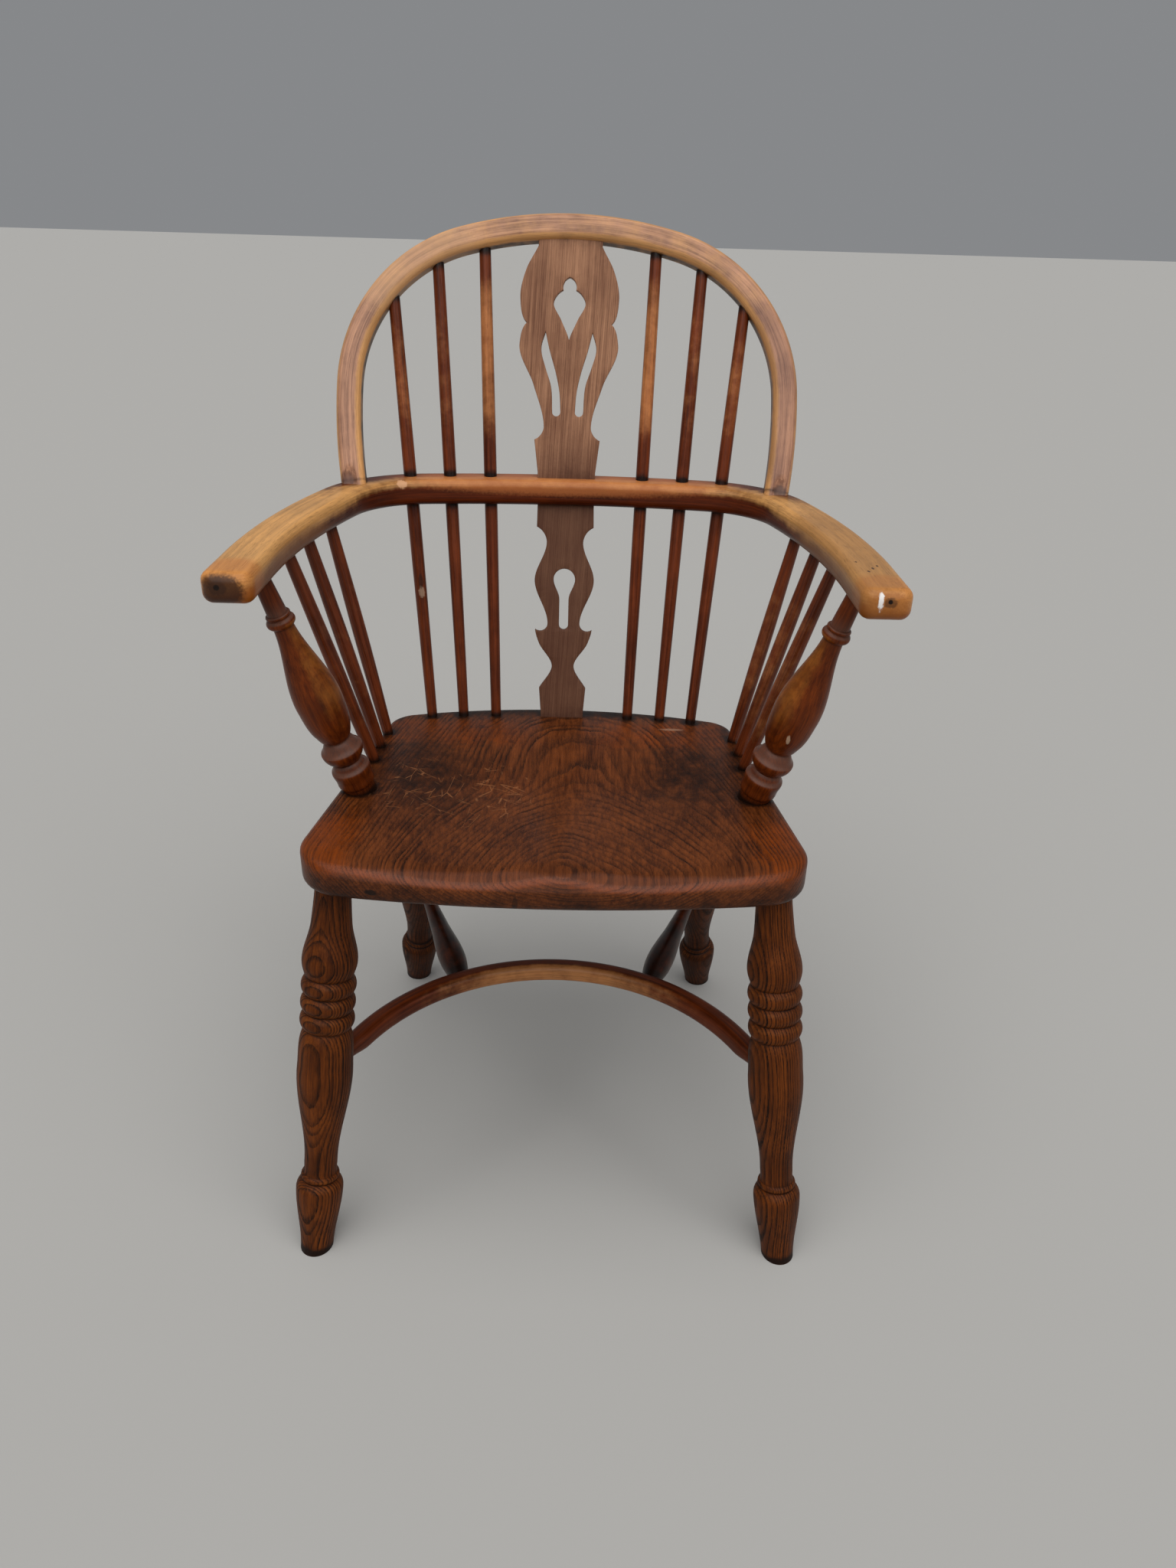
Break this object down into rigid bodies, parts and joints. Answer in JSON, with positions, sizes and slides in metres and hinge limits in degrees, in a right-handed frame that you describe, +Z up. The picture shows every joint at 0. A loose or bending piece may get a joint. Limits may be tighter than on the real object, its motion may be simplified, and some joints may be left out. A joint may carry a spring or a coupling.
{
  "type": "windsor armchair",
  "caption": "Low-backed wooden armchair: dished seat on raked turned legs, bent arm bow and back hoop, slender spindles, pierced splats and a curved stretcher.",
  "frame": {"origin": "on the floor, under the middle of the chair's overall width and depth", "axes": "+Z up, the sitter faces -Y, +X is to the right of a viewer in front"},
  "size_m": [0.5338, 0.495, 0.8796],
  "materials": {
    "seat_elm": "old waxed polish",
    "leg_ash": "old waxed polish",
    "post_ash": "old waxed polish",
    "stretcher_ash": "old waxed polish",
    "arm_bow_ash": "old waxed polish",
    "hoop_ash": "old waxed polish",
    "splat_wood": "old waxed polish",
    "spindle_ash": "old waxed polish"
  },
  "bodies": {
    "root": {"arm_bow": "arm_bow_ash", "back_hoop": "hoop_ash", "crinoline_stretcher": "stretcher_ash", "front_left_leg": "leg_ash", "front_right_leg": "leg_ash", "left_arm_post": "post_ash", "left_front_short_spindle": "spindle_ash", "left_inner_long_spindle": "spindle_ash", "left_middle_long_spindle": "spindle_ash", "left_middle_short_spindle": "spindle_ash", "left_outer_long_spindle": "spindle_ash", "left_rear_short_spindle": "spindle_ash", "left_spur": "stretcher_ash", "lower_splat": "splat_wood", "rear_left_leg": "leg_ash", "rear_right_leg": "leg_ash", "right_arm_post": "post_ash", "right_front_short_spindle": "spindle_ash", "right_inner_long_spindle": "spindle_ash", "right_middle_long_spindle": "spindle_ash", "right_middle_short_spindle": "spindle_ash", "right_outer_long_spindle": "spindle_ash", "right_rear_short_spindle": "spindle_ash", "right_spur": "stretcher_ash", "seat": "seat_elm", "upper_splat": "splat_wood"}
  },
  "joints": []
}
